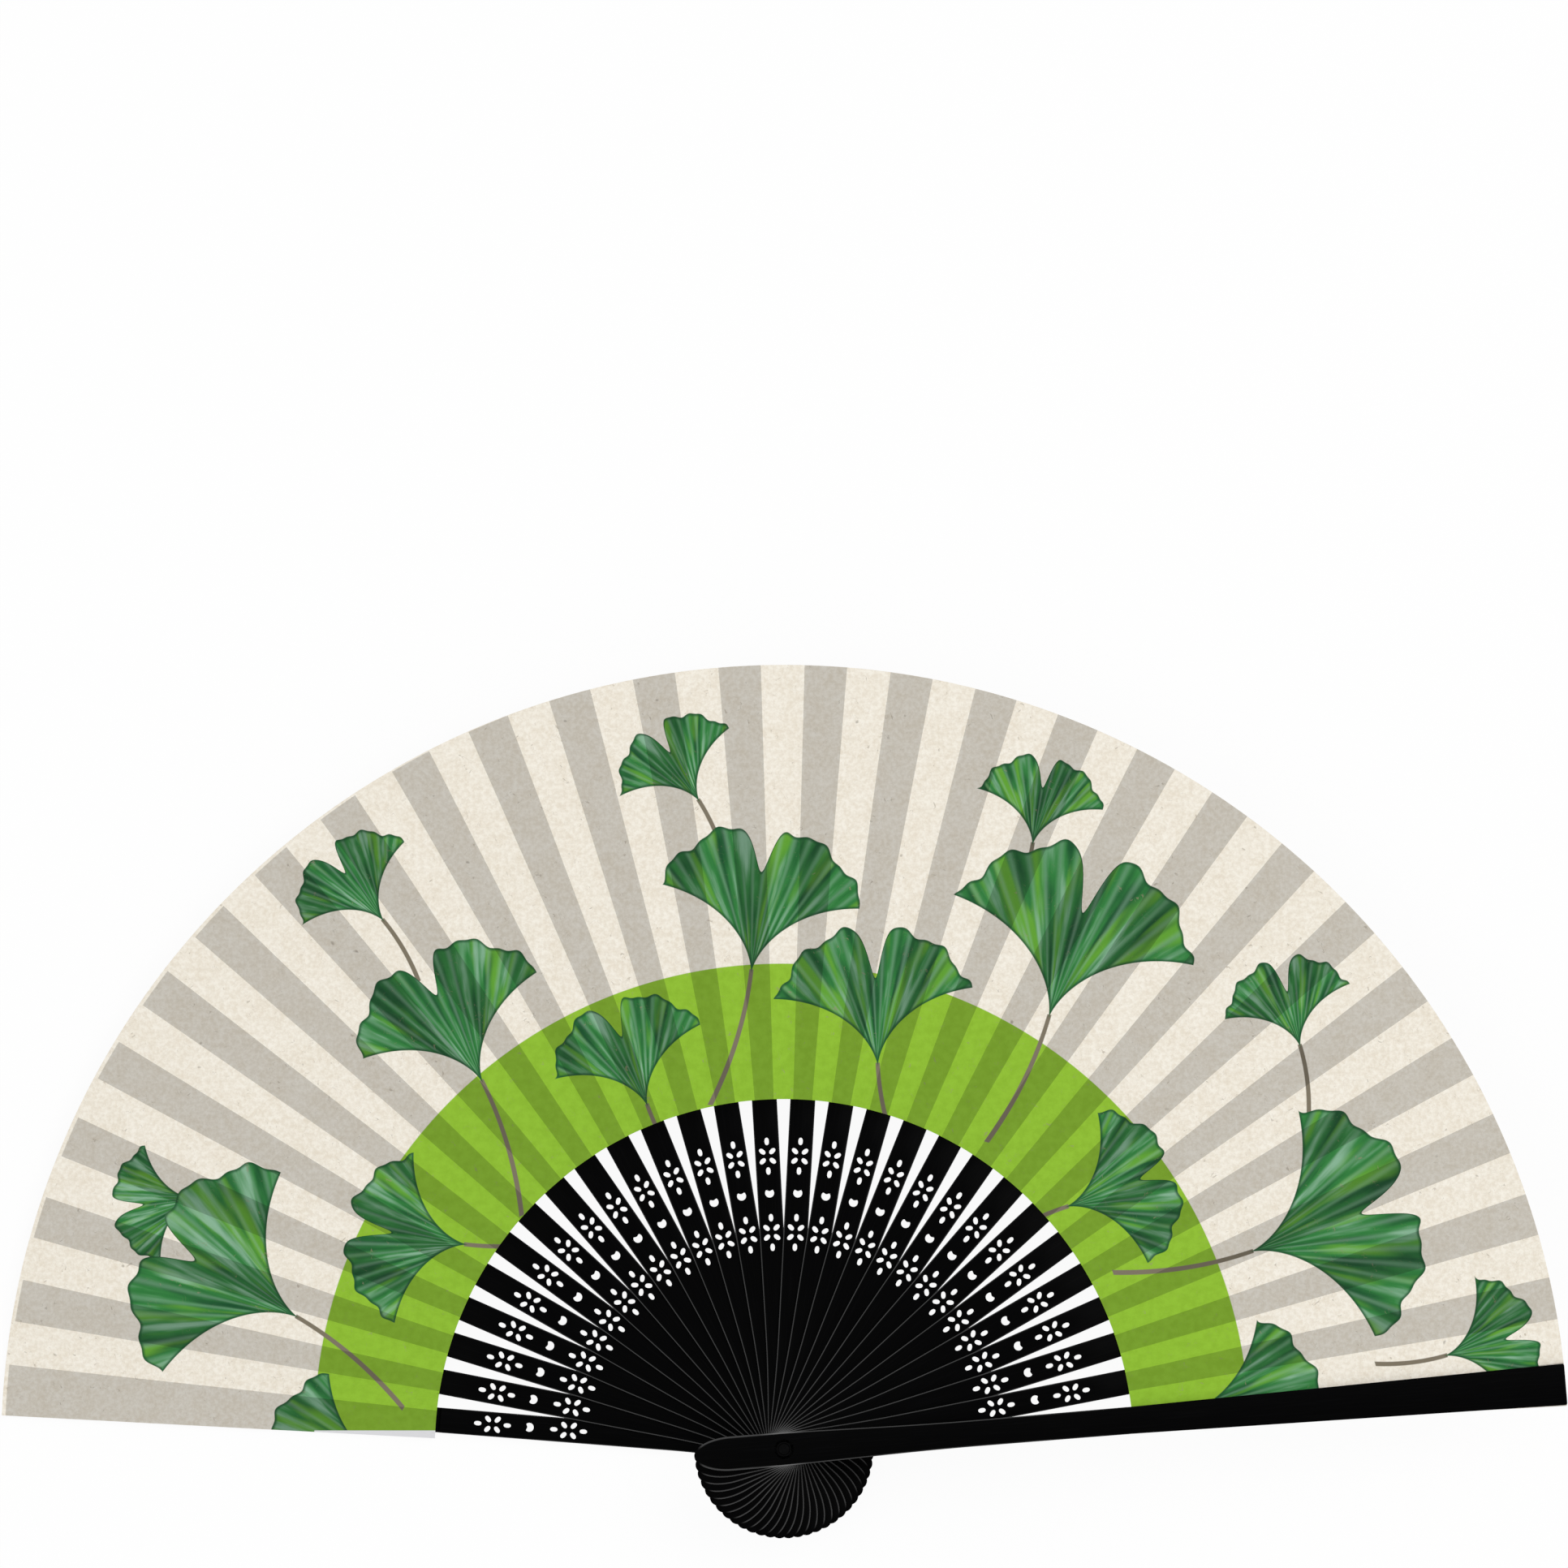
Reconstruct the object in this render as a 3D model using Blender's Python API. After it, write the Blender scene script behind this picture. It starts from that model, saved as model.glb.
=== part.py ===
"""A folding hand fan, laid open on its rear guard.

Two guards and twenty-six pierced sticks are stacked on one rivet, each stick a step higher than the
one before. A pleated leaf joins them: every stick carries one panel of it, and the panel beside that
one folds back under it when the fan closes.

Frame: the rivet's axis is Z, and the origin is where it leaves the rear guard's lower face. +Y points
up the middle of the open leaf and +X towards the front guard. Blender's unit is the metre.
"""

import math

import bmesh
import bpy

MM = 0.001

# Counts and angles
STICKS = 26
PITCH = math.radians(6.32)
FRONT_ANGLE = math.radians(4.75)
PANEL = PITCH / 2

# Lengths from the rivet's axis
HEAD_LENGTH = 23.8 * MM
FRONT_GUARD_LENGTH = 207.2 * MM
REAR_GUARD_LENGTH = 206.4 * MM
LEAF_INNER = 92.4 * MM
LEAF_OUTER = 207.2 * MM
SLIP_END = 205.0 * MM

# Widths
HEAD_WIDTH = 9.0 * MM
NOSE_LENGTH = 9.8 * MM
STICK_WAIST = 6.0 * MM
STICK_LEAF_WIDTH = 6.5 * MM
FRONT_GUARD_WAIST = 6.25 * MM
FRONT_GUARD_LEAF_WIDTH = 7.05 * MM
FRONT_GUARD_TIP_WIDTH = 10.9 * MM
REAR_GUARD_TIP_WIDTH = 10.0 * MM
WAIST_AT = 28.0 * MM
SLIP_WIDTH = 3.0 * MM
GUARD_CORNER = 0.5 * MM

# Straight steps in the head's rounded end and in the swell from the head to the waist
NOSE_STEPS = 3
SWELL_STEPS = 4

# Thicknesses and the clearance that every face keeps to its neighbour
CLEARANCE = 0.3 * MM
BLADE_THICKNESS = 0.65 * MM
SLIP_THICKNESS = 0.35 * MM
LEAF_THICKNESS = 0.2 * MM
GUARD_THICKNESS = 2.4 * MM
GUARD_LEAF_THICKNESS = 1.4 * MM
GUARD_EDGE_ROUND = 0.35 * MM

# Where a stick is thinned for the leaf, and where it narrows to its slip
THIN_MARGIN = 1.2 * MM
THIN_RAMP = 0.4 * MM
SHOULDER_MARGIN = 1.5 * MM
SHOULDER_RAMP = 1.5 * MM

# The leaf's pleats, half their height at the outer edge, how far out they reach their full slope, and
# how far the first panel reaches past its half pitch to cover the rear guard
FOLD_HEIGHT = 1.0 * MM
LEAF_HEM = math.radians(0.55)
LEAN_LENGTH = 15.0 * MM

# Piercings in a stick: two six-petal flowers with a notched seed between them
OUTER_FLOWER_AT = 77.7 * MM
SEED_AT = 67.8 * MM
INNER_FLOWER_AT = 57.5 * MM
LONG_PETAL_REACH = 3.9 * MM
LONG_PETAL = (1.9 * MM, 1.2 * MM)
SIDE_PETAL_OFFSET = (1.3 * MM, 1.35 * MM)
SIDE_PETAL = (1.85 * MM, 1.0 * MM)
SIDE_PETAL_TURN = math.radians(58)
PETAL_SIDES = 6
SEED_RADIUS = 1.15 * MM
SEED_FLAT = 0.62 * MM
SEED_NOTCH = 0.35 * MM
SEED_SIDES = 4

# The rivet
RIVET_RADIUS = 1.5 * MM
RIVET_HEAD_RADIUS = 2.7 * MM
RIVET_HEAD_THICKNESS = 0.6 * MM
RIVET_SIDES = 12
HOLE_SIDES = 8
SINK_SIDES = 16

LEVEL_STEP = BLADE_THICKNESS + CLEARANCE
FOLD_SLOPE = FOLD_HEIGHT / (LEAF_OUTER * math.tan(PANEL / 2))
HOLE_RADIUS = (RIVET_RADIUS + CLEARANCE) / math.cos(math.pi / HOLE_SIDES)
THIN_START = LEAF_INNER - THIN_MARGIN
SHOULDER_START = LEAF_INNER + SHOULDER_MARGIN
SHOULDER_END = SHOULDER_START + SHOULDER_RAMP
FRONT = STICKS + 1

BLACK = (0.012, 0.012, 0.013, 1.0)
PAPER = (0.80, 0.74, 0.62, 1.0)
STEEL = (0.05, 0.05, 0.052, 1.0)


def angle_of(index):
    """Direction of a slat from the rivet: 0 is the rear guard and FRONT the front guard."""
    return FRONT_ANGLE + (FRONT - index) * PITCH


def level_of(index):
    """Height of a slat's lower face at the rivet."""
    if index == 0:
        return 0.0
    return GUARD_THICKNESS + CLEARANCE + (index - 1) * LEVEL_STEP


def leaf_level(index):
    """Height of the leaf's middle surface where it lies on a slat, or under the front guard."""
    seat = CLEARANCE + LEAF_THICKNESS / 2
    if index == 0:
        return GUARD_LEAF_THICKNESS + seat
    if index == FRONT:
        return level_of(FRONT) + GUARD_THICKNESS - GUARD_LEAF_THICKNESS - seat
    return level_of(index) + SLIP_THICKNESS + seat


def lean(radius):
    """Slope of a pleat at a radius: flat on the blades, and full beyond LEAN_LENGTH."""
    share = (radius - SHOULDER_END) / LEAN_LENGTH
    return FOLD_SLOPE * min(max(share, 0.0), 1.0)


def fold_height(index, radius):
    """Half the height of the pleat on a slat. The leaf lies flat on both guards."""
    if index in (0, FRONT):
        return 0.0
    return lean(radius) * radius * math.tan(PANEL / 2)


def clear_scene():
    for old in list(bpy.data.objects):
        bpy.data.objects.remove(old, do_unlink=True)


def material(name, color, roughness, metallic=0.0):
    made = bpy.data.materials.new(name)
    made.use_nodes = True
    shader = made.node_tree.nodes["Principled BSDF"]
    shader.inputs["Base Color"].default_value = color
    shader.inputs["Roughness"].default_value = roughness
    shader.inputs["Metallic"].default_value = metallic
    made.diffuse_color = color
    return made


def add_object(name, mesh_data, finish, index=0, height=0.0):
    """Places a piece on the rivet's axis at a slat's direction and a height."""
    mesh = bpy.data.meshes.new(name)
    mesh_data.to_mesh(mesh)
    mesh_data.free()
    mesh.materials.append(finish)
    made = bpy.data.objects.new(name, mesh)
    made.location = (0.0, 0.0, height)
    made.rotation_euler = (0.0, 0.0, angle_of(index))
    bpy.context.collection.objects.link(made)
    return made


def ring(bm, points):
    """A closed loop of edges through points in the plane."""
    verts = [bm.verts.new((x, y, 0.0)) for x, y in points]
    return [bm.edges.new((verts[i - 1], verts[i])) for i in range(len(verts))]


def ellipse(center_x, center_y, size, turn, sides):
    """Points of an ellipse of a length and a width, its length turned from the stick's own line."""
    points = []
    for i in range(sides):
        around = math.tau * i / sides
        along = size[0] / 2 * math.cos(around)
        across = size[1] / 2 * math.sin(around)
        x = center_x + along * math.cos(turn) - across * math.sin(turn)
        y = center_y + along * math.sin(turn) + across * math.cos(turn)
        points.append((x, y))
    return points


def flower(center_x):
    """Six petals: two on the stick's line, and four smaller ones that lean about the centre."""
    petals = []
    for side in (-1, 1):
        petals.append(ellipse(center_x + side * LONG_PETAL_REACH, 0.0, LONG_PETAL, 0.0, PETAL_SIDES))
        for hand in (-1, 1):
            place_x = center_x + side * SIDE_PETAL_OFFSET[0]
            place_y = hand * SIDE_PETAL_OFFSET[1]
            turn = side * hand * SIDE_PETAL_TURN
            petals.append(ellipse(place_x, place_y, SIDE_PETAL, turn, PETAL_SIDES))
    return petals


def seed(center_x):
    """A round seed towards the rivet, cut off flat on its outer side with a notch in the cut."""
    half = math.acos(-SEED_FLAT / SEED_RADIUS)
    points = []
    for i in range(SEED_SIDES + 1):
        around = math.pi - half + 2 * half * i / SEED_SIDES
        points.append((center_x + SEED_RADIUS * math.cos(around), SEED_RADIUS * math.sin(around)))
    points.append((center_x + SEED_FLAT - SEED_NOTCH, 0.0))
    return points


def half_width(x, waist, leaf_width):
    """Half the width of a slat between its head and the leaf: a cosine swell, then a straight taper."""
    head_end = NOSE_LENGTH - HEAD_LENGTH
    if x < WAIST_AT:
        share = (x - head_end) / (WAIST_AT - head_end)
        swell = (1 + math.cos(math.pi * share)) / 2
        return (waist + (HEAD_WIDTH - waist) * swell) / 2
    share = (x - WAIST_AT) / (LEAF_INNER - WAIST_AT)
    return (waist + (leaf_width - waist) * share) / 2


def slat_side(waist, leaf_width):
    """One side of a slat from the middle of its nose to where it is thinned for the leaf."""
    nose_center = NOSE_LENGTH - HEAD_LENGTH
    points = [(-HEAD_LENGTH, 0.0)]
    for i in range(1, NOSE_STEPS + 1):
        around = math.pi - math.pi / 2 * i / NOSE_STEPS
        x = nose_center + NOSE_LENGTH * math.cos(around)
        points.append((x, HEAD_WIDTH / 2 * math.sin(around)))
    for i in range(1, SWELL_STEPS + 1):
        x = nose_center + (WAIST_AT - nose_center) * i / SWELL_STEPS
        points.append((x, half_width(x, waist, leaf_width)))
    points.append((THIN_START, half_width(THIN_START, waist, leaf_width)))
    return points


def slat(waist, leaf_width, sections, holes, low, high, rounded=None):
    """A flat slat with holes, and a strip of sections beyond them.

    The outline is filled around its holes, the strip joins the outline's square end, and the whole
    sheet is raised. low and high give each face's height at a place on the slat. rounded is "upper" or
    "lower" where that face's outer edge is rounded off.
    """
    bm = bmesh.new()
    side = slat_side(waist, leaf_width)
    outline = side + [(x, -y) for x, y in reversed(side[1:])]
    edges = ring(bm, outline)
    rim = set(bm.verts)
    for hole in holes:
        edges += ring(bm, hole)
    bm.verts.ensure_lookup_table()
    last_left = bm.verts[len(side) - 1]
    last_right = bm.verts[len(side)]
    bmesh.ops.triangle_fill(bm, use_beauty=True, use_dissolve=False, edges=edges)
    for x, half in sections:
        left = bm.verts.new((x, half, 0.0))
        right = bm.verts.new((x, -half, 0.0))
        bm.faces.new((last_left, left, right, last_right))
        last_left, last_right = left, right
        rim.update((left, right))
    bmesh.ops.recalc_face_normals(bm, faces=bm.faces)
    rim_places = {vert.co.xy.copy().freeze() for vert in rim}
    raised = bmesh.ops.extrude_face_region(bm, geom=list(bm.faces))
    upper = {item for item in raised["geom"] if isinstance(item, bmesh.types.BMVert)}
    for vert in bm.verts:
        height = high if vert in upper else low
        vert.co.z = height(vert.co.x, vert.co.y)
    bmesh.ops.recalc_face_normals(bm, faces=bm.faces)
    if rounded:
        wanted = upper if rounded == "upper" else set(bm.verts) - upper
        round_rim(bm, wanted, rim_places)
    return bm


def round_rim(bm, verts, rim_places):
    """Rounds the edges between one face of a slat and its outer wall."""
    picked = []
    for edge in bm.edges:
        on_rim = all(v in verts and v.co.xy.copy().freeze() in rim_places for v in edge.verts)
        if on_rim and edge.calc_face_angle(0.0) > math.radians(60):
            picked.append(edge)
    bmesh.ops.bevel(bm, geom=picked, offset=GUARD_EDGE_ROUND, segments=1, affect="EDGES", profile=0.5)


def piercings():
    rivet_hole = ellipse(0.0, 0.0, (2 * HOLE_RADIUS, 2 * HOLE_RADIUS), 0.0, HOLE_SIDES)
    return [rivet_hole] + flower(OUTER_FLOWER_AT) + [seed(SEED_AT)] + flower(INNER_FLOWER_AT)


def guard_sections(leaf_width, tip_width, guard_length):
    """A guard past the blades: it widens to a square end with its corners taken off."""
    start = THIN_START + THIN_RAMP
    taper = (tip_width - leaf_width) / (guard_length - LEAF_INNER)
    sections = []
    for x in (start, guard_length - GUARD_CORNER):
        sections.append((x, (leaf_width + taper * (x - LEAF_INNER)) / 2))
    sections.append((guard_length, tip_width / 2 - GUARD_CORNER))
    return sections


def thinned(x, full, thin):
    """A thickness that drops over THIN_RAMP where the leaf starts."""
    share = min(max((x - THIN_START) / THIN_RAMP, 0.0), 1.0)
    return full + (thin - full) * share


def sink_rivet_head(guard, height):
    """Cuts the rivet head's seat into a guard's outer face, from one head's thickness inside it."""
    bm = bmesh.new()
    radius = (RIVET_HEAD_RADIUS + CLEARANCE) / math.cos(math.pi / SINK_SIDES)
    depth = 2 * (RIVET_HEAD_THICKNESS + CLEARANCE)
    bmesh.ops.create_cone(
        bm, cap_ends=True, segments=SINK_SIDES, radius1=radius, radius2=radius, depth=depth
    )
    mesh = bpy.data.meshes.new(guard.name + "_sink")
    bm.to_mesh(mesh)
    bm.free()
    cutter = bpy.data.objects.new(guard.name + "_sink", mesh)
    cutter.location = (0.0, 0.0, height)
    cutter.hide_render = True
    cutter.display_type = "WIRE"
    bpy.context.collection.objects.link(cutter)
    cut = guard.modifiers.new("rivet seat", "BOOLEAN")
    cut.operation = "DIFFERENCE"
    cut.solver = "EXACT"
    cut.object = cutter


def make_rear_guard(finish):
    """The rear guard is pierced like the sticks, thinner under the leaf, and hidden behind it."""

    def low(x, y):
        return 0.0

    def high(x, y):
        return thinned(x, GUARD_THICKNESS, GUARD_LEAF_THICKNESS)

    beyond = guard_sections(STICK_LEAF_WIDTH, REAR_GUARD_TIP_WIDTH, REAR_GUARD_LENGTH)
    bm = slat(STICK_WAIST, STICK_LEAF_WIDTH, beyond, piercings(), low, high, "lower")
    guard = add_object("rear_guard", bm, finish, 0, 0.0)
    sink_rivet_head(guard, 0.0)


def make_front_guard(finish):
    """The front guard is plain, and its inner face is cut back for the leaf that is glued to it."""

    def low(x, y):
        return thinned(x, 0.0, GUARD_THICKNESS - GUARD_LEAF_THICKNESS)

    def high(x, y):
        return GUARD_THICKNESS

    holes = piercings()[:1]
    beyond = guard_sections(FRONT_GUARD_LEAF_WIDTH, FRONT_GUARD_TIP_WIDTH, FRONT_GUARD_LENGTH)
    bm = slat(FRONT_GUARD_WAIST, FRONT_GUARD_LEAF_WIDTH, beyond, holes, low, high, "upper")
    guard = add_object("front_guard", bm, finish, FRONT, level_of(FRONT))
    sink_rivet_head(guard, level_of(FRONT) + GUARD_THICKNESS)


def make_stick(index, finish):
    """A pierced blade that is thinned at the leaf, then narrows to a slip that leans with its pleat."""

    def low(x, y):
        return -lean(x) * y

    def high(x, y):
        return low(x, y) + thinned(x, BLADE_THICKNESS, SLIP_THICKNESS)

    sections = [
        (THIN_START + THIN_RAMP, STICK_LEAF_WIDTH / 2),
        (SHOULDER_START, STICK_LEAF_WIDTH / 2),
        (SHOULDER_END, SLIP_WIDTH / 2),
        (SHOULDER_END + LEAN_LENGTH, SLIP_WIDTH / 2),
        (SLIP_END, SLIP_WIDTH / 2),
    ]
    bm = slat(STICK_WAIST, STICK_LEAF_WIDTH, sections, piercings(), low, high)
    add_object("stick_%02d" % index, bm, finish, index, level_of(index))


def leaf_strip(folds):
    """A strip of the leaf from its inner to its outer edge.

    Each fold is an angle from the slat's line, a shift across that line, and a function of the
    radius that gives the middle surface's height there.
    """
    bm = bmesh.new()
    radii = (LEAF_INNER, SHOULDER_END, SHOULDER_END + LEAN_LENGTH, LEAF_OUTER)
    layers = []
    for offset in (-LEAF_THICKNESS / 2, LEAF_THICKNESS / 2):
        rows = []
        for radius in radii:
            row = []
            for angle, shift, height in folds:
                x = radius * math.cos(angle)
                y = radius * math.sin(angle) + shift
                row.append(bm.verts.new((x, y, height(radius) + offset)))
            rows.append(row)
        layers.append(rows)
    for rows in layers:
        for inner, outer in zip(rows, rows[1:]):
            for i in range(len(folds) - 1):
                bm.faces.new((inner[i], inner[i + 1], outer[i + 1], outer[i]))
    lower, upper = layers
    rims = [
        (lower[0], upper[0]),
        (lower[-1], upper[-1]),
        ([row[0] for row in lower], [row[0] for row in upper]),
        ([row[-1] for row in lower], [row[-1] for row in upper]),
    ]
    for below, above in rims:
        for i in range(len(below) - 1):
            bm.faces.new((below[i], below[i + 1], above[i + 1], above[i]))
    bmesh.ops.recalc_face_normals(bm, faces=bm.faces)
    return bm


def make_pleat(index, finish):
    """The panel on a slat and the panel beside it, which ends a clearance short of the next slat's."""

    def far_edge(radius):
        return leaf_level(index) - fold_height(index, radius)

    def ridge(radius):
        return leaf_level(index) + fold_height(index, radius)

    def valley(radius):
        return leaf_level(index + 1) - fold_height(index + 1, radius)

    hem = LEAF_HEM if index == 0 else 0.0
    folds = [
        (PANEL / 2 + hem, 0.0, far_edge),
        (-PANEL / 2, 0.0, ridge),
        (-PANEL * 3 / 2, CLEARANCE, valley),
    ]
    add_object("leaf_pleat_%02d" % (index + 1), leaf_strip(folds), finish, index, 0.0)


def make_leaf_end(finish):
    """The last panel, glued under the front guard."""

    def flat(radius):
        return leaf_level(FRONT)

    folds = [(PANEL / 2, 0.0, flat), (-PANEL / 2, 0.0, flat)]
    add_object("leaf_end_strip", leaf_strip(folds), finish, FRONT, 0.0)


def turned(profile, sides):
    """A solid or a ring turned about Z from a closed profile of radius and height."""
    bm = bmesh.new()
    verts = [bm.verts.new((radius, 0.0, height)) for radius, height in profile]
    edges = [bm.edges.new((a, b)) for a, b in zip(verts, verts[1:])]
    if profile[0][0] > 0.0:
        edges.append(bm.edges.new((verts[-1], verts[0])))
    bmesh.ops.spin(
        bm,
        geom=verts + edges,
        axis=(0.0, 0.0, 1.0),
        cent=(0.0, 0.0, 0.0),
        steps=sides,
        angle=math.tau,
        use_merge=True,
    )
    bmesh.ops.remove_doubles(bm, verts=bm.verts, dist=CLEARANCE / 100)
    bmesh.ops.recalc_face_normals(bm, faces=bm.faces)
    return bm


def shade_round(made):
    made.data.shade_smooth()
    made.data.set_sharp_from_angle(angle=math.radians(30))


def make_rivet(finish):
    """A flat-headed rivet from the rear guard's outer face to the front guard's, with a washer there."""
    top = level_of(FRONT) + GUARD_THICKNESS
    profile = [
        (0.0, 0.0),
        (RIVET_HEAD_RADIUS, 0.0),
        (RIVET_HEAD_RADIUS, RIVET_HEAD_THICKNESS),
        (RIVET_RADIUS, RIVET_HEAD_THICKNESS),
        (RIVET_RADIUS, top),
        (0.0, top),
    ]
    shade_round(add_object("pivot_rivet", turned(profile, RIVET_SIDES), finish))
    bore = (RIVET_RADIUS + CLEARANCE) / math.cos(math.pi / RIVET_SIDES)
    under = top - RIVET_HEAD_THICKNESS
    profile = [
        (bore, under),
        (RIVET_HEAD_RADIUS, under),
        (RIVET_HEAD_RADIUS, top),
        (bore, top),
    ]
    shade_round(add_object("rivet_washer", turned(profile, RIVET_SIDES), finish))


def main():
    clear_scene()
    make_rear_guard(material("rear guard lacquer", BLACK, 0.35))
    for index in range(1, FRONT):
        make_stick(index, material("stick %02d lacquer" % index, BLACK, 0.35))
    make_front_guard(material("front guard lacquer", BLACK, 0.35))
    for index in range(FRONT):
        make_pleat(index, material("leaf %02d paper" % (index + 1), PAPER, 0.85))
    make_leaf_end(material("leaf end paper", PAPER, 0.85))
    make_rivet(material("rivet steel", STEEL, 0.4, 0.8))


main()
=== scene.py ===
"""Dresses a folding hand fan: lacquered slats, a printed and pleated paper leaf, and its rivet.

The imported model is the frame. Lengths are metres, Z is the rivet's axis, and the open leaf lies
towards +Y with the front guard on top at +X.
"""

import math

import bpy
import numpy as np
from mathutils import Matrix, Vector
from mathutils.geometry import delaunay_2d_cdt


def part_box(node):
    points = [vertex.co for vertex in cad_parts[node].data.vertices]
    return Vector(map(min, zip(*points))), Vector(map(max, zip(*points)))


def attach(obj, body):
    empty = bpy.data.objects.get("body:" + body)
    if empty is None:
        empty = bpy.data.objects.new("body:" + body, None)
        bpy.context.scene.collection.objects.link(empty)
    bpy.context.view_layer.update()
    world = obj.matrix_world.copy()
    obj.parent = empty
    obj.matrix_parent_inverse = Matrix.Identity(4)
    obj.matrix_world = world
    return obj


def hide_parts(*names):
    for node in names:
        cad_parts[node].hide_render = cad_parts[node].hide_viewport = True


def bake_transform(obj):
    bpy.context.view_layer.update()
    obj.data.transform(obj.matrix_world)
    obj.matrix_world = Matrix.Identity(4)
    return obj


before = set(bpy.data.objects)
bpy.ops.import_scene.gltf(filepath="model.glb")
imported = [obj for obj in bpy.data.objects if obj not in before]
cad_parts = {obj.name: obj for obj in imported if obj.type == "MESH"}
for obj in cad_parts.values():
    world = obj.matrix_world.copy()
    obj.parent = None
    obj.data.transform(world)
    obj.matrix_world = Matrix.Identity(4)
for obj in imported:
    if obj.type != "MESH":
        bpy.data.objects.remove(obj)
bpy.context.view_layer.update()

bl_info = {
    "name": "Folding hand fan",
    "version": (1, 0, 0),
    "blender": (4, 5, 0),
    "location": "3D View > Sidebar > Fan",
    "description": "Builds the finished surfaces of a folding hand fan around its packed model",
    "category": "Object",
}

MM = 0.001
FRONT = sum(1 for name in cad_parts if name.startswith("stick_")) + 1
FAN_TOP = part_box("front_guard")[1][2]
# Clear space between the paper and the slat that it is glued to.
PROUD = 0.02 * MM

# The leaf's seat starts SEAT_MARGIN before the leaf, and a slat thins over SEAT_DROP there.
SEAT_MARGIN = 1.2 * MM
SEAT_DROP = 0.4 * MM
# A stick narrows to its slip between these distances past the leaf's inner edge.
SHOULDER_FROM = 1.5 * MM
SHOULDER_TO = 3.0 * MM
# A pleat and its slip reach their full slope over this length.
LEAN_RAMP = 15.0 * MM

# Widths of a slat's bevel along its sides and round its head, and of a hole's bevel. The slat's
# bevels are BEVEL_RISE times as high as the one along the sides is wide, and the width passes from
# one to the other over HEAD_RAMP.
REAR_BEVELS = (0.30 * MM, 0.54 * MM)
FRONT_BEVELS = (0.35 * MM, 0.63 * MM)
STICK_BEVELS = (0.34 * MM, 0.44 * MM)
HOLE_BEVEL = 0.08 * MM
BEVEL_RISE = 0.35
HEAD_RAMP = 10.0 * MM

# Places of the piercings from the rivet.
FLOWERS_AT = (77.4 * MM, 57.2 * MM)
SEED_AT = 67.65 * MM

# Folds are rounded off by FOLD_ROUND, a bell of width FOLD_BELL that grows over FOLD_RAMP, and a
# panel between two slats sags by SAG.
FOLD_ROUND = 0.10 * MM
FOLD_BELL = 0.45 * MM
FOLD_RAMP = 20.0 * MM
SAG = 0.22 * MM

# Half the width over which a printed edge fades, and how far the grain shifts from slat to slat.
CRISP = 0.12 * MM
GRAIN_SHIFT = 20.0 * MM


def length(name, description, value):
    """A length property whose default is given in metres."""
    return bpy.props.FloatProperty(
        name=name, description=description, default=value, unit="LENGTH", precision=5, min=0.0
    )


def colour(name, description, value):
    return bpy.props.FloatVectorProperty(
        name=name, description=description, default=value, subtype="COLOR", size=3, min=0.0, max=1.0
    )


class SlatSizes(bpy.types.PropertyGroup):
    """Sizes of the guards and sticks."""

    pitch: bpy.props.FloatProperty(
        name="Pitch", description="Angle from one slat to the next", default=math.radians(6.32), subtype="ANGLE"
    )
    front_angle: bpy.props.FloatProperty(
        name="Front angle", description="Direction of the front guard", default=math.radians(4.75), subtype="ANGLE"
    )
    head_length: length("Head", "From the rivet to the end of the head", 23.8 * MM)
    nose_length: length("Nose", "Length of the head's rounded end", 9.8 * MM)
    head_width: length("Head width", "Widest part of the head", 9.0 * MM)
    waist_at: length("Waist place", "From the rivet to a stick's narrowest part", 30.0 * MM)
    stick_waist: length("Stick waist", "Narrowest width of a stick", 6.24 * MM)
    stick_middle: length("Stick middle", "Width of a stick halfway from its waist to the leaf", 6.44 * MM)
    stick_width: length("Stick width", "Width of a stick at the leaf", 6.6 * MM)
    guard_waist_at: length("Guard waist place", "From the rivet to the front guard's narrowest part", 50.0 * MM)
    guard_waist: length("Guard waist", "Narrowest width of the front guard", 6.9 * MM)
    guard_middle: length("Guard middle", "Width of the front guard halfway from its waist to the leaf", 7.02 * MM)
    guard_width: length("Guard width", "Width of the front guard at the leaf", 7.15 * MM)
    guard_tip: length("Guard tip", "Width of the front guard at its tip", 10.9 * MM)
    guard_length: length("Guard length", "From the rivet to the front guard's tip", 207.2 * MM)
    rear_tip: length("Rear tip", "Width of the rear guard at its tip", 10.0 * MM)
    rear_length: length("Rear length", "From the rivet to the rear guard's tip", 206.4 * MM)
    slip_width: length("Slip width", "Width of a stick behind the leaf", 3.0 * MM)
    slip_end: length("Slip end", "From the rivet to the end of a stick", 205.0 * MM)
    blade: length("Blade", "Thickness of a stick", 0.65 * MM)
    slip: length("Slip", "Thickness of a stick behind the leaf", 0.35 * MM)
    guard: length("Guard", "Thickness of a guard", 2.4 * MM)
    guard_thin: length("Thin guard", "Thickness of a guard at the leaf", 1.4 * MM)
    spacing: length("Spacing", "Gap from one slat to the next", 0.3 * MM)
    hole: length("Rivet hole", "Radius of the rivet's hole", 1.8 * MM)


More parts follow.
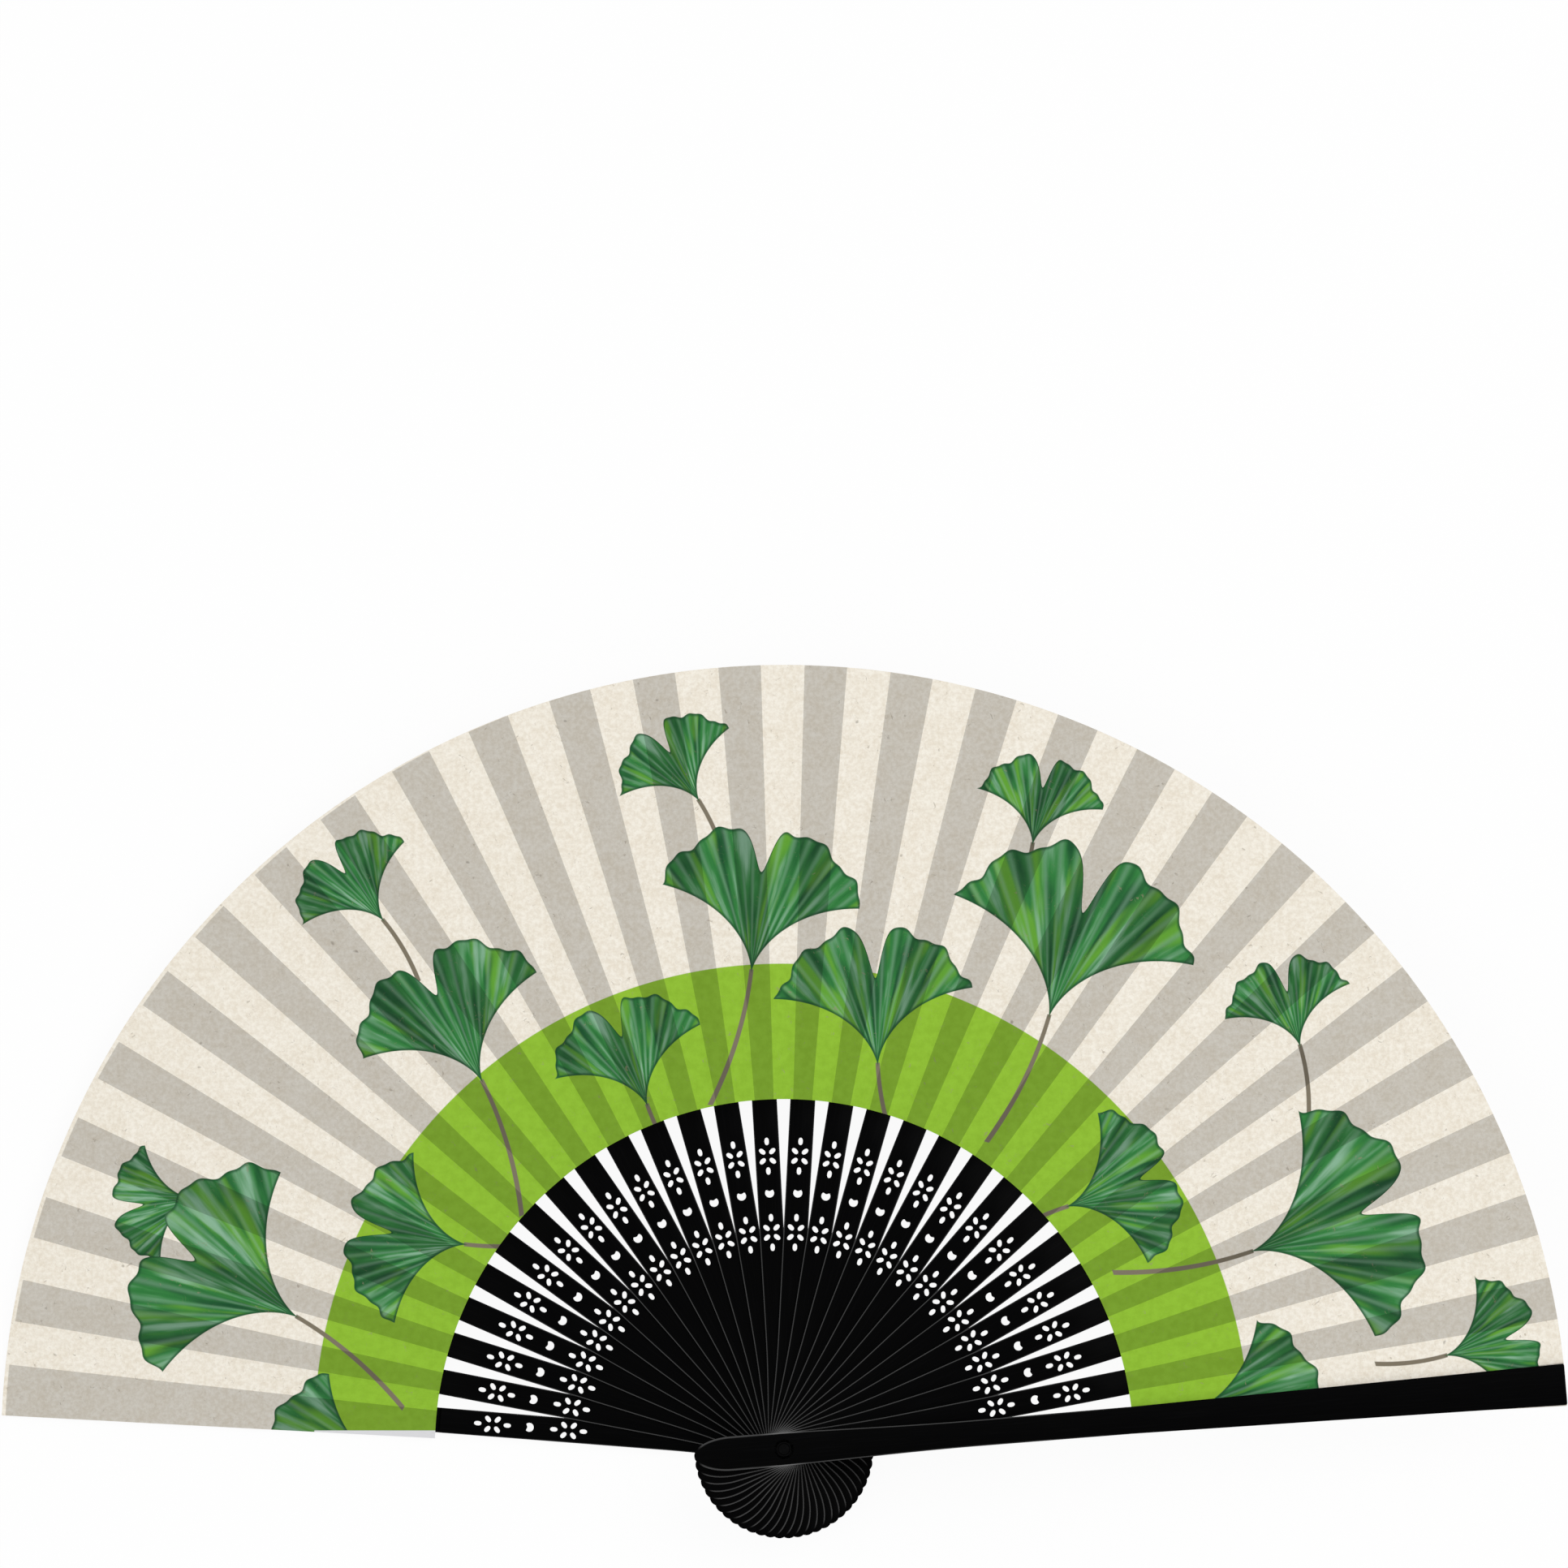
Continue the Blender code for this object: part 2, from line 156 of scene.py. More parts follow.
class LeafSizes(bpy.types.PropertyGroup):
    """Sizes of the pleated leaf."""

    inner: length("Inner edge", "From the rivet to the leaf's inner edge", 92.4 * MM)
    outer: length("Outer edge", "From the rivet to the leaf's outer edge", 207.2 * MM)
    band: length("Band", "Radius of the plain band's outer edge", 123.6 * MM)
    band_up: length("Band offset", "How far the band is printed above the rivet's axis", 4.6 * MM)
    band_left: length("Band side offset", "How far the band is printed to the left", 0.7 * MM)
    paper: length("Paper", "Thickness of the paper", 0.2 * MM)
    fold: length("Fold", "Half the height of a pleat at the outer edge", 1.0 * MM)
    margin: length("Margin", "Unshaded rim outside the dark panels at the far left", 1.0 * MM)
    hem: length("Hem", "Extra width of paper that covers the rear guard's lower side", 2.35 * MM)
    greyed: length("Grey hem", "The band's print stops this far above the rivet's level", 4.6 * MM)


class FanColours(bpy.types.PropertyGroup):
    """Colours of the fan's finishes."""

    lacquer: colour("Lacquer", "Faces of the slats", (0.0008, 0.0008, 0.0009))
    # Painted highlights on the slats: a grey line along their overlapping edges, paler beside the rivet.
    edge_highlight: colour("Edge highlight", "Edges of the slats where they overlap", (0.055, 0.055, 0.055))
    edge_glint: colour("Edge glint", "Edges of the slats beside the rivet", (0.180, 0.180, 0.180))
    paper: colour("Paper", "Unprinted paper", (0.862, 0.806, 0.698))
    paper_mottle: colour("Mottled paper", "Darker patches of the paper", (0.79, 0.71, 0.58))
    paper_cloud: colour("Clouded paper", "Wide pale patches of the paper", (0.93, 0.89, 0.80))
    paper_light: colour("Light grain", "Light side of the paper's grain", (0.94, 0.90, 0.81))
    paper_dark: colour("Dark grain", "Dark side of the paper's grain", (0.74, 0.67, 0.55))
    speck: colour("Speck", "Fine specks in the paper", (0.42, 0.32, 0.22))
    dot: colour("Dot", "Sparse dark dots in the paper", (0.22, 0.18, 0.13))
    fibre: colour("Fibre", "Curved fibres in the paper", (0.30, 0.24, 0.17))
    hem_grey: colour("Grey hem", "The hem's end below the band's print", (0.70, 0.70, 0.72))
    # Painted pleat shade: the printed face of every other panel is multiplied by this colour.
    pleat_shade: colour("Pleat shade", "What the alternate darker panels are multiplied by", (0.655, 0.655, 0.66))
    band: colour("Band", "Plain band at the leaf's inner edge", (0.272, 0.508, 0.030))
    leaf_dark: colour("Dark leaf", "Darkest green of the printed leaves", (0.006, 0.075, 0.022))
    leaf_mid: colour("Mid leaf", "Main green of the printed leaves", (0.030, 0.210, 0.045))
    leaf_bright: colour("Bright leaf", "Yellow green streaks of the printed leaves", (0.130, 0.380, 0.030))
    leaf_pale: colour("Pale leaf", "Palest green of the printed leaves", (0.270, 0.480, 0.330))
    stalk: colour("Stalk", "Stalks of the printed leaves", (0.200, 0.170, 0.120))
    rivet: colour("Rivet", "Blackened steel of the rivet", (0.0016, 0.0016, 0.0017))
    floor: colour("Floor", "The floor under the fan", (0.90, 0.90, 0.90))


def sizes():
    return bpy.context.scene.fan_slats


def leaf_sizes():
    return bpy.context.scene.fan_leaf


def colours():
    return bpy.context.scene.fan_colours


def angle_of(index):
    """Direction of a slat: 0 is the rear guard and FRONT the front guard."""
    s = sizes()
    return s.front_angle + (FRONT - index) * s.pitch


def level_of(index):
    """Height of a slat's lower face at the rivet."""
    s = sizes()
    if index == 0:
        return 0.0
    return s.guard + s.spacing + (index - 1) * (s.blade + s.spacing)


def body_of_slat(index):
    if index == 0:
        return "rear_guard"
    if index == FRONT:
        return "front_guard"
    return "stick_%02d" % index


def slat_piece(index):
    return body_of_slat(index) + "_slat"


def thin_start():
    """The leaf's seat starts this far from the rivet."""
    return leaf_sizes().inner - SEAT_MARGIN


def shoulder_end():
    """A stick is as narrow as its slip from here."""
    return leaf_sizes().inner + SHOULDER_TO


def lean(radius):
    """Slope of a pleat and of its slip: none on the blades, then full after a straight ramp."""
    leaf = leaf_sizes()
    full = leaf.fold / (leaf.outer * math.tan(sizes().pitch / 4))
    return full * np.clip((radius - shoulder_end()) / LEAN_RAMP, 0.0, 1.0)


class Value:
    """A number on its way through a material, with Python's own operators."""

    def __init__(self, recipe, socket):
        self.recipe = recipe
        self.socket = socket

    def math(self, operation, *others):
        values = dict(enumerate((self, *others)))
        return self.recipe.node("ShaderNodeMath", {"operation": operation}, values)

    def __add__(self, other):
        return self.math("ADD", other)

    def __radd__(self, other):
        return self.math("ADD", other)

    def __sub__(self, other):
        return self.math("SUBTRACT", other)

    def __rsub__(self, other):
        return self.recipe.number(other).math("SUBTRACT", self)

    def __mul__(self, other):
        return self.math("MULTIPLY", other)

    def __rmul__(self, other):
        return self.math("MULTIPLY", other)

    def __truediv__(self, other):
        return self.math("DIVIDE", other)

    def __pow__(self, other):
        return self.math("POWER", other)

    def __abs__(self):
        return self.math("ABSOLUTE")

    def least(self, other):
        return self.math("MINIMUM", other)

    def most(self, other):
        return self.math("MAXIMUM", other)

    def sin(self):
        return self.math("SINE")

    def cos(self):
        return self.math("COSINE")

    def step(self, start, end):
        """0 before start and 1 after end, with a smooth rise between them."""
        settings = {"interpolation_type": "SMOOTHSTEP", "clamp": True}
        values = {"Value": self, "From Min": start, "From Max": end}
        return self.recipe.node("ShaderNodeMapRange", settings, values)


class Recipe:
    """A material built from expressions."""

    def __init__(self, name):
        self.material = bpy.data.materials.new(name)
        self.material.use_nodes = True
        self.tree = self.material.node_tree
        self.shader = self.tree.nodes["Principled BSDF"]
        self.output = self.tree.nodes["Material Output"]

    def node(self, kind, settings, values, output=0):
        """Adds one node: its settings first, then the values or links of its sockets."""
        made = self.tree.nodes.new(kind)
        for key, value in settings.items():
            setattr(made, key, value)
        for key, value in values.items():
            self.feed(made.inputs[key], value)
        return Value(self, made.outputs[output])

    def feed(self, socket, value):
        if isinstance(value, Value):
            self.tree.links.new(value.socket, socket)
        else:
            socket.default_value = value

    def number(self, value):
        made = self.tree.nodes.new("ShaderNodeValue")
        made.outputs[0].default_value = value
        return Value(self, made.outputs[0])

    def attribute(self, name):
        return self.node("ShaderNodeAttribute", {"attribute_name": name}, {}, "Fac")

    def uv(self):
        return self.node("ShaderNodeUVMap", {"uv_map": "UVMap"}, {})

    def parts(self, vector):
        split = self.tree.nodes.new("ShaderNodeSeparateXYZ")
        self.feed(split.inputs[0], vector)
        return [Value(self, split.outputs[i]) for i in range(3)]

    def vector(self, x, y, z=0.0):
        return self.node("ShaderNodeCombineXYZ", {}, {0: x, 1: y, 2: z})

    def noise(self, vector, scale, detail=2.0, roughness=0.5):
        values = {"Vector": vector, "Scale": scale, "Detail": detail, "Roughness": roughness}
        return self.node("ShaderNodeTexNoise", {}, values)

    def random(self, number):
        settings = {"noise_dimensions": "1D"}
        return self.node("ShaderNodeTexWhiteNoise", settings, {"W": number})

    def mix(self, share, first, second, blend="MIX"):
        """Mixes two colours, each a triple or a link."""
        made = self.tree.nodes.new("ShaderNodeMix")
        made.data_type = "RGBA"
        made.blend_type = blend
        self.feed(made.inputs["Factor"], share)
        for socket, value in ((made.inputs[6], first), (made.inputs[7], second)):
            self.feed(socket, value if isinstance(value, Value) else (*value, 1.0))
        return Value(self, made.outputs[2])

    def bump(self, height, strength, distance):
        values = {"Height": height, "Strength": strength, "Distance": distance}
        return self.node("ShaderNodeBump", {}, values)

    def finish(self, **inputs):
        """Feeds the Principled shader. A name's underscores stand for spaces."""
        for name, value in inputs.items():
            socket = self.shader.inputs[name.replace("_", " ")]
            if isinstance(value, tuple):
                value = (*value, 1.0)
            self.feed(socket, value)
        return self.material


def lacquer_material():
    """Black lacquer over lengthwise grain. Its edges carry a painted grey highlight where the slats overlap.

    They overlap from just inside the head's end to where the sticks part, and the painted highlight
    fades out there. Beside the rivet it turns into a paler painted glint.
    """
    m = Recipe("black lacquer")
    c = colours()
    along, across, _ = m.parts(m.uv())
    x, y, _ = m.parts(m.node("ShaderNodeTexCoord", {}, {}, "Object"))
    radius = (x * x + y * y) ** 0.5
    grain = m.noise(m.vector(along * 60.0, across * 2600.0), 1.0, 3.0)
    patches = m.noise(m.uv(), 45.0, 2.0)
    past_head = along.step(-22.8 * MM, -21.2 * MM)
    parted = along.step(54.0 * MM, 105.0 * MM)
    overlap = past_head * (1.0 - parted)
    # A painted highlight on the outer part of each bevel, only where the slats overlap.
    edge_highlight = (m.attribute("edge") * (0.85 + grain * 0.3)).step(0.10, 0.60) * overlap
    face = m.mix(grain.step(0.45, 0.8) * 0.6, tuple(c.lacquer), tuple(3.0 * v for v in c.lacquer))
    # The painted highlight's colour, a paler painted glint within a few millimetres of the rivet.
    greyed = m.mix(radius.step(3.0 * MM, 8.0 * MM), tuple(c.edge_glint), tuple(c.edge_highlight))
    shade = m.mix(edge_highlight, face, greyed)
    rough = 0.34 + patches * 0.12 + edge_highlight * 0.15
    relief = m.bump(grain, 0.12, 0.05 * MM)
    m.shader.inputs["Specular IOR Level"].default_value = 0.02
    return m.finish(Base_Color=shade, Roughness=rough, Normal=relief)


def lacquer():
    """The one lacquer that all slats share, made when the first of them needs it."""
    return bpy.data.materials.get("black lacquer") or lacquer_material()


def rivet_material():
    """Blackened steel, turned, with fine rings and scuffed places."""
    m = Recipe("blackened rivet")
    c = colours()
    place = m.node("ShaderNodeTexCoord", {}, {}, "Object")
    x, y, _ = m.parts(place)
    radius = (x * x + y * y) ** 0.5
    ring_turns = 9000.0
    rings = (radius * ring_turns).sin() * 0.5 + 0.5
    rub = m.noise(place, 900.0, 3.0)
    shade = m.mix(rub.step(0.5, 0.75) * 0.5, tuple(c.rivet), tuple(2.5 * v for v in c.rivet))
    relief = m.bump(rings, 0.15, 0.02 * MM)
    m.shader.inputs["Specular IOR Level"].default_value = 0.03
    return m.finish(Base_Color=shade, Roughness=0.38 + rub * 0.2, Normal=relief)


# Each row of printed leaves: the cells' angle and shift, the radius of the blades' bases, a blade's
# size, how far it turns and strays by chance, the row's seed, and its stalks' bend and length.
ROW_KEYS = ("cell", "shift", "base", "size", "turn", "stray", "seed", "bend", "stalk")
LEAF_ROWS = (
    (0.52, 0.12, 0.170, 0.023, 2.8, 0.014, 5.0, 9.0, 0.018),
    (0.62, 0.22, 0.101, 0.034, 1.0, 0.010, 11.0, -7.0, 0.022),
    (0.62, 0.53, 0.132, 0.045, 0.9, 0.014, 23.0, 5.0, 0.036),
)


def leaf_row(m, x, y, row):
    """One row of printed ginkgo leaves, as a dictionary of masks and tones.

    The half circle is cut in equal cells. In each, a blade spreads from its base between two curved
    sides to a wavy outer edge with a notch in the middle. Its turn, size and place vary by cell.
    """
    angle = y.math("ARCTAN2", x)
    radius = (x * x + y * y) ** 0.5
    # Each cell's number, two chances that belong to it, and where its leaf starts.
    cell_number = ((angle + row["shift"]) / row["cell"]).math("FLOOR")
    off = angle + row["shift"] - (cell_number + 0.5) * row["cell"]
    chance = m.random(cell_number + row["seed"])
    other_chance = m.random(cell_number * 3.7 + row["seed"] + 0.5)
    base = row["base"] + (other_chance - 0.5) * row["stray"]
    # The leaf's own axes: u runs along its blade and v across it.
    out = radius * off.cos() - base
    side = radius * off.sin()
    turn = (chance - 0.5) * row["turn"]
    u = out * turn.cos() + side * turn.sin()
    v = side * turn.cos() - out * turn.sin()
    size = row["size"] * (0.85 + other_chance * 0.3)
    reach = (u * u + v * v) ** 0.5
    spread = v.math("ARCTAN2", u)
    apart = abs(spread)
    # The outer edge falls towards the sides, is wavy, and has a notch shaped like a bell.
    rim = 1.0 - (spread * spread) * 0.16
    rim = rim + (spread * 17.0 + chance * 6.0).sin() * 0.022 + (spread * 41.0).sin() * 0.008
    notch = (spread + (chance - 0.5) * 0.1) / 0.085
    rim = rim - (0.0 - notch * notch).math("EXPONENT") * 0.34
    share = reach / size
    # The sides: the blade's half angle grows from the base outwards.
    limit = 0.10 + (share ** 0.75) * 0.92
    inside_edge = (rim - share) * size
    inside_side = (limit - apart) * reach
    inside = inside_edge.least(inside_side)
    blade = inside.step(-CRISP, CRISP)
    # Veins, tones and streaks all fan out from the base.
    fork = m.noise(m.vector(share * 1.3, spread * 3.0, cell_number), 1.0, 1.0) * 3.0
    veins = ((spread * 62.0 + fork).sin() * 0.5 + 0.5) ** 3.0
    tone = m.noise(m.vector(share * 1.6, spread * 9.0, cell_number * 2.3), 1.0, 3.0)
    streak = m.noise(m.vector(share * 1.2, spread * 6.0, cell_number * 5.1 + 3.0), 1.0, 2.0)
    outline = 1.0 - inside.step(0.2 * MM, 1.1 * MM)
    # The stalk follows a parabola back from the base and thickens towards its end.
    curve = v - (u * u) * row["bend"]
    stalk_half = 0.55 * MM - u * 0.004
    stalk = (stalk_half - abs(curve)).step(-CRISP, CRISP) * (1.0 * MM - u).step(-CRISP, CRISP)
    stalk = stalk * (u + row["stalk"]).step(-CRISP, CRISP)
    return {
        "blade": blade,
        "veins": veins,
        "tone": tone,
        "streak": streak,
        "outline": outline,
        "stalk": stalk,
    }


def printed_leaves(m, x, y, ground):
    """Lays three rows of ginkgo leaves over the ground colour, the smallest first."""
    c = colours()
    shade = ground
    for numbers in LEAF_ROWS:
        leaf = leaf_row(m, x, y, dict(zip(ROW_KEYS, numbers)))
        wash = m.mix(leaf["tone"].step(0.30, 0.60), tuple(c.leaf_dark), tuple(c.leaf_mid))
        wash = m.mix(leaf["streak"].step(0.50, 0.66) * 0.85, wash, tuple(c.leaf_bright))
        wash = m.mix(leaf["tone"].step(0.54, 0.74) * 0.85, wash, tuple(c.leaf_pale))
        wash = m.mix(leaf["veins"] * 0.30, wash, tuple(c.leaf_pale))
        wash = m.mix(leaf["outline"] * 0.85, wash, tuple(c.leaf_dark))
        shade = m.mix(leaf["stalk"], shade, tuple(c.stalk))
        shade = m.mix(leaf["blade"], shade, wash)
    return shade


def paper_material():
    """Speckled fibre paper, printed on its upper face with a band and leaves, and painted pleat shade on alternate
    panels.
    """
    m = Recipe("printed fibre paper")
    c = colours()
    leaf = leaf_sizes()
    place = m.uv()
    x, y, _ = m.parts(place)
    radius = (x * x + y * y) ** 0.5
    printed = m.attribute("printed").step(0.45, 0.55)
    shaded_panel = m.attribute("shaded_panel").step(0.49, 0.51)
    mottle = m.noise(place, 420.0, 4.0, 0.6).step(0.32, 0.70)
    cloud = m.noise(place, 160.0, 3.0).step(0.36, 0.66)
    speck = m.noise(place, 1500.0, 2.0, 0.6)
    dot = m.noise(place, 340.0, 1.0, 0.4)
    grain = m.noise(place, 850.0, 2.0, 0.7).step(0.30, 0.68)
    paper = m.mix(mottle * 0.70, tuple(c.paper), tuple(c.paper_mottle))
    paper = m.mix(cloud * 0.60, paper, tuple(c.paper_cloud))
    paper = m.mix(grain * 0.50, paper, tuple(c.paper_light))
    paper = m.mix((1.0 - grain) * 0.50, paper, tuple(c.paper_dark))
    paper = m.mix(speck.step(0.70, 0.76) * 0.12, paper, tuple(c.speck))
    paper = m.mix(dot.step(0.775, 0.850) * 0.60, paper, tuple(c.dot))
    # The band is a circle printed a little off the rivet's axis.
    side, up = x + leaf.band_left, y - leaf.band_up
    band_radius = (side * side + up * up) ** 0.5
    in_band = 1.0 - band_radius.step(leaf.band - CRISP, leaf.band + CRISP)
    light_band, dark_band = (tuple(share * v for v in c.band) for share in (1.03, 0.82))
    band_tint = m.mix(mottle * 0.50, light_band, dark_band)
    ground = m.mix(in_band * printed, paper, band_tint)
    picture = printed_leaves(m, x, y, ground)
    shade = m.mix(printed, ground, picture)
    for turned, bend in ((0.6, 31.0), (1.9, 47.0), (2.7, 71.0)):
        fibre = fibre_mask(m, x, y, turned, bend)
        shade = m.mix(fibre * 0.45, shade, tuple(c.fibre))
    # The painted pleat shade on the alternate panels stops short of the outer edge towards the left.
    rim = leaf.outer - leaf.margin * (0.0 - x).step(50.0 * MM, 170.0 * MM)
    fade = 0.15 * MM
    # Painted pleat shade on the printed face of the panel that lies on each slat.
    shaded = shaded_panel * printed * (1.0 - (radius - rim).step(-fade, fade))
    pleat_shade = m.mix(shaded, (1.0, 1.0, 1.0), tuple(c.pleat_shade))
    shade = m.mix(1.0, shade, pleat_shade, "MULTIPLY")
    # The hem below the band's print is coloured a flat grey.
    greyed = in_band * printed * (1.0 - y.step(leaf.greyed - CRISP, leaf.greyed + CRISP))
    shade = m.mix(greyed, shade, tuple(c.hem_grey))
    relief = m.bump(mottle * 0.7 + speck * 0.3, 0.25, 0.05 * MM)
    m.shader.inputs["Specular IOR Level"].default_value = 0.25
    return m.finish(Base_Color=shade, Roughness=0.78 + mottle * 0.15, Normal=relief)


def fibre_mask(m, x, y, turned, seed):
    """Sparse curved fibres: thin level lines of a stretched noise, kept where a second noise is high."""
    u = x * math.cos(turned) + y * math.sin(turned)
    v = y * math.cos(turned) - x * math.sin(turned)
    wave = m.noise(m.vector(u * 260.0, v * 620.0, seed), 1.0, 1.0)
    line = 1.0 - abs(wave - 0.5).step(0.002, 0.006)
    keep = m.noise(m.vector(u * 330.0, v * 330.0, seed + 9.0), 1.0, 0.0).step(0.68, 0.72)
    return line * keep


def new_mesh_object(name, points, faces, attributes, uv, material, smooth):
    """Makes a mesh piece at the origin from arrays, with per-point attributes and a UV map.

    Edges sharper than the angle smooth stay sharp, and 0 leaves the whole piece flat.
    """
    mesh = bpy.data.meshes.new(name)
    mesh.from_pydata(points.tolist(), [], faces)
    for key, values in attributes.items():
        made = mesh.attributes.new(key, "FLOAT", "POINT")
        made.data.foreach_set("value", values.astype(np.float32))
    corners = np.empty(len(mesh.loops), np.int32)
    mesh.loops.foreach_get("vertex_index", corners)
    layer = mesh.uv_layers.new(name="UVMap")
    layer.data.foreach_set("uv", uv[corners].astype(np.float32).ravel())
    if smooth:
        mesh.shade_smooth()
        mesh.set_sharp_from_angle(angle=smooth)
    mesh.materials.append(material)
    mesh.update()
    made = bpy.data.objects.new(name, mesh)
    bpy.context.scene.collection.objects.link(made)
    return made


def turned_to(points, angle, height):
    """Turns points about the rivet's axis and raises them."""
    c, s = math.cos(angle), math.sin(angle)
    x = points[:, 0] * c - points[:, 1] * s
    y = points[:, 0] * s + points[:, 1] * c
    return np.column_stack((x, y, points[:, 2] + height))


def offset_loop(loop, distance):
    """Moves each point of a closed loop along the mean of its two edges' normals, mitred.

    The distance is one number, or a column with a number for each point.
    """
    before = loop - np.roll(loop, 1, axis=0)
    after = np.roll(loop, -1, axis=0) - loop
    before /= np.linalg.norm(before, axis=1, keepdims=True)
    after /= np.linalg.norm(after, axis=1, keepdims=True)
    normal_before = np.column_stack((before[:, 1], -before[:, 0]))
    normal_after = np.column_stack((after[:, 1], -after[:, 0]))
    dot = np.sum(normal_before * normal_after, axis=1, keepdims=True)
    return loop + distance * (normal_before + normal_after) / (1.0 + dot)


def inside_loops(points, loops):
    """Even-odd rule: a point is inside if a ray to +X crosses the loops an odd number of times."""
    count = np.zeros(len(points), int)
    for loop in loops:
        a, b = loop, np.roll(loop, -1, axis=0)
        py = points[:, 1][:, None]
        spans = (a[:, 1] > py) != (b[:, 1] > py)
        rise = np.where(b[:, 1] == a[:, 1], 1e-12, b[:, 1] - a[:, 1])
        crossing = a[:, 0] + (py - a[:, 1]) / rise * (b[:, 0] - a[:, 0])
        count += np.sum(spans & (points[:, 0][:, None] < crossing), axis=1)
    return count % 2 == 1


def filled(loops, links):
    """Triangles between an outline and its holes, from a constrained Delaunay fill in millimetres."""
    points = np.vstack(loops) / MM
    edges = []
    first = 0
    for loop in loops:
        count = len(loop)
        edges += [(first + i, first + (i + 1) % count) for i in range(count)]
        first += count
    result = delaunay_2d_cdt([Vector(p) for p in points.tolist()], edges + links, [], 0, 1e-7)
    if len(result[0]) != len(points):
        raise RuntimeError("a slat's outline or holes cross each other")
    triangles = np.array([list(face) for face in result[2]])
    middles = points[triangles].mean(axis=1)
    return triangles[inside_loops(middles, [loop / MM for loop in loops])]


def plate(name, outline, holes, links, low, high, bevels, index, material):
    """A slat cut from a sheet: flat faces, and around every edge a wall with a bevel above and below.

    Each loop is carried through four levels. The first and last are drawn in by the bevel and carry
    the faces, and the middle two are the wall. The outline's bevel has one width along the sides and
    another round the head.
    """
    loops = [outline] + holes
    side_bevel, head_bevel = bevels
    towards_head = np.clip(-outline[:, :1] / HEAD_RAMP, 0.0, 1.0)
    widths = [side_bevel + (head_bevel - side_bevel) * towards_head] + [HOLE_BEVEL] * len(holes)
    lift = BEVEL_RISE * side_bevel
    levels = ((-1.0, 0.0), (0.0, lift), (0.0, -lift), (-1.0, 0.0))
    rings = [[offset_loop(loop, share * width) for loop, width in zip(loops, widths)] for share, _ in levels]
    layers = []
    for i, (_, rise) in enumerate(levels):
        flat = np.vstack(rings[i])
        height = low(flat[:, 0], flat[:, 1]) if i < 2 else high(flat[:, 0], flat[:, 1])
        layers.append(np.column_stack((flat, height + rise)))
    count = len(layers[0])
    faces = []
    first = 0
    for loop in loops:
        here = first + np.arange(len(loop))
        there = first + (np.arange(len(loop)) + 1) % len(loop)
        for level in range(3):
            low_row, high_row = level * count, (level + 1) * count
            quads = np.column_stack((low_row + here, low_row + there, high_row + there, high_row + here))
            faces += quads.tolist()
        first += len(loop)
    top = filled(rings[3], links)
    faces += (top + 3 * count).tolist()
    faces += top[:, ::-1].tolist()
    points = np.vstack(layers)
    edge = np.zeros((4, count))
    edge[2, : len(outline)] = 1.0
    uv = points[:, :2] + np.array([0.0, GRAIN_SHIFT * index])
    placed = turned_to(points, angle_of(index), level_of(index))
    return new_mesh_object(name, placed, faces, {"edge": edge.ravel()}, uv, material, math.radians(50))


def slat_outline(waist_at, waist, middle, leaf_width, beyond):
    """A slat's outline, anticlockwise, and which points face each other where it is thinned.

    One side runs from the nose, an ellipse's quarter, along a cosine swell to the waist, then by two
    straight tapers that meet halfway to the leaf, and through the given points beyond. The other side
    mirrors it.
    """
    s = sizes()
    center = s.nose_length - s.head_length
    around = np.linspace(math.pi, math.pi / 2, 17)
    nose = np.column_stack((center + s.nose_length * np.cos(around), s.head_width / 2 * np.sin(around)))
    x = np.linspace(center, waist_at, 25)[1:]
    swell = (1 + np.cos(math.pi * (x - center) / (waist_at - center))) / 2
    body = np.column_stack((x, (waist + (s.head_width - waist) * swell) / 2))
    taper_x = np.array([(waist_at + thin_start()) / 2, thin_start()])
    taper = np.column_stack((taper_x, np.array([middle, leaf_width]) / 2))
    side = np.vstack((nose, body, taper, beyond))
    mirrored = side[1:] * np.array([1.0, -1.0])
    outline = np.vstack((mirrored, side[::-1]))
    total = len(outline)
    thin_index = len(nose) + len(body) + len(taper) - 1
    pairs = [(i - 1, total - 1 - i) for i in range(thin_index, len(side) - 1)]
    return outline, pairs


def oval(x, y, long, wide, turn, count):
    """A clockwise oval whose ends are a little fuller than an ellipse's, turned from the slat's line."""
    around = -np.linspace(0, math.tau, count, endpoint=False)
    power = 0.9
    along = long / 2 * np.sign(np.cos(around)) * np.abs(np.cos(around)) ** power
    across = wide / 2 * np.sign(np.sin(around)) * np.abs(np.sin(around)) ** power
    px = x + along * math.cos(turn) - across * math.sin(turn)
    py = y + along * math.sin(turn) + across * math.cos(turn)
    return np.column_stack((px, py))


def flower(center):
    """Six pierced petals: two on the slat's line and four that lean about the centre."""
    end_at, end_long, end_wide = 3.92 * MM, 1.95 * MM, 1.18 * MM
    along, across, long, wide = 1.28 * MM, 1.33 * MM, 1.9 * MM, 1.2 * MM
    turn = math.radians(48)
    petals = []
    for side in (-1, 1):
        petals.append(oval(center + side * end_at, 0.0, end_long, end_wide, 0.0, 24))
        for hand in (-1, 1):
            leaning = side * hand * turn
            petals.append(oval(center + side * along, hand * across, long, wide, leaning, 24))
    return petals


def seed_hole(center):
    """A round hole whose outer side is cut off by a shallow cosine wave."""
    radius, flat, notch = 1.19 * MM, 0.80 * MM, 0.28 * MM
    half = math.acos(-flat / radius)
    around = np.linspace(math.pi + half, math.pi - half, 25)
    arc = np.column_stack((center + radius * np.cos(around), radius * np.sin(around)))
    y = np.linspace(arc[-1, 1], arc[0, 1], 11)[1:-1]
    dip = notch * (1 + np.cos(math.pi * y / arc[-1, 1])) / 2
    return np.vstack((arc, np.column_stack((center + flat - dip, y))))


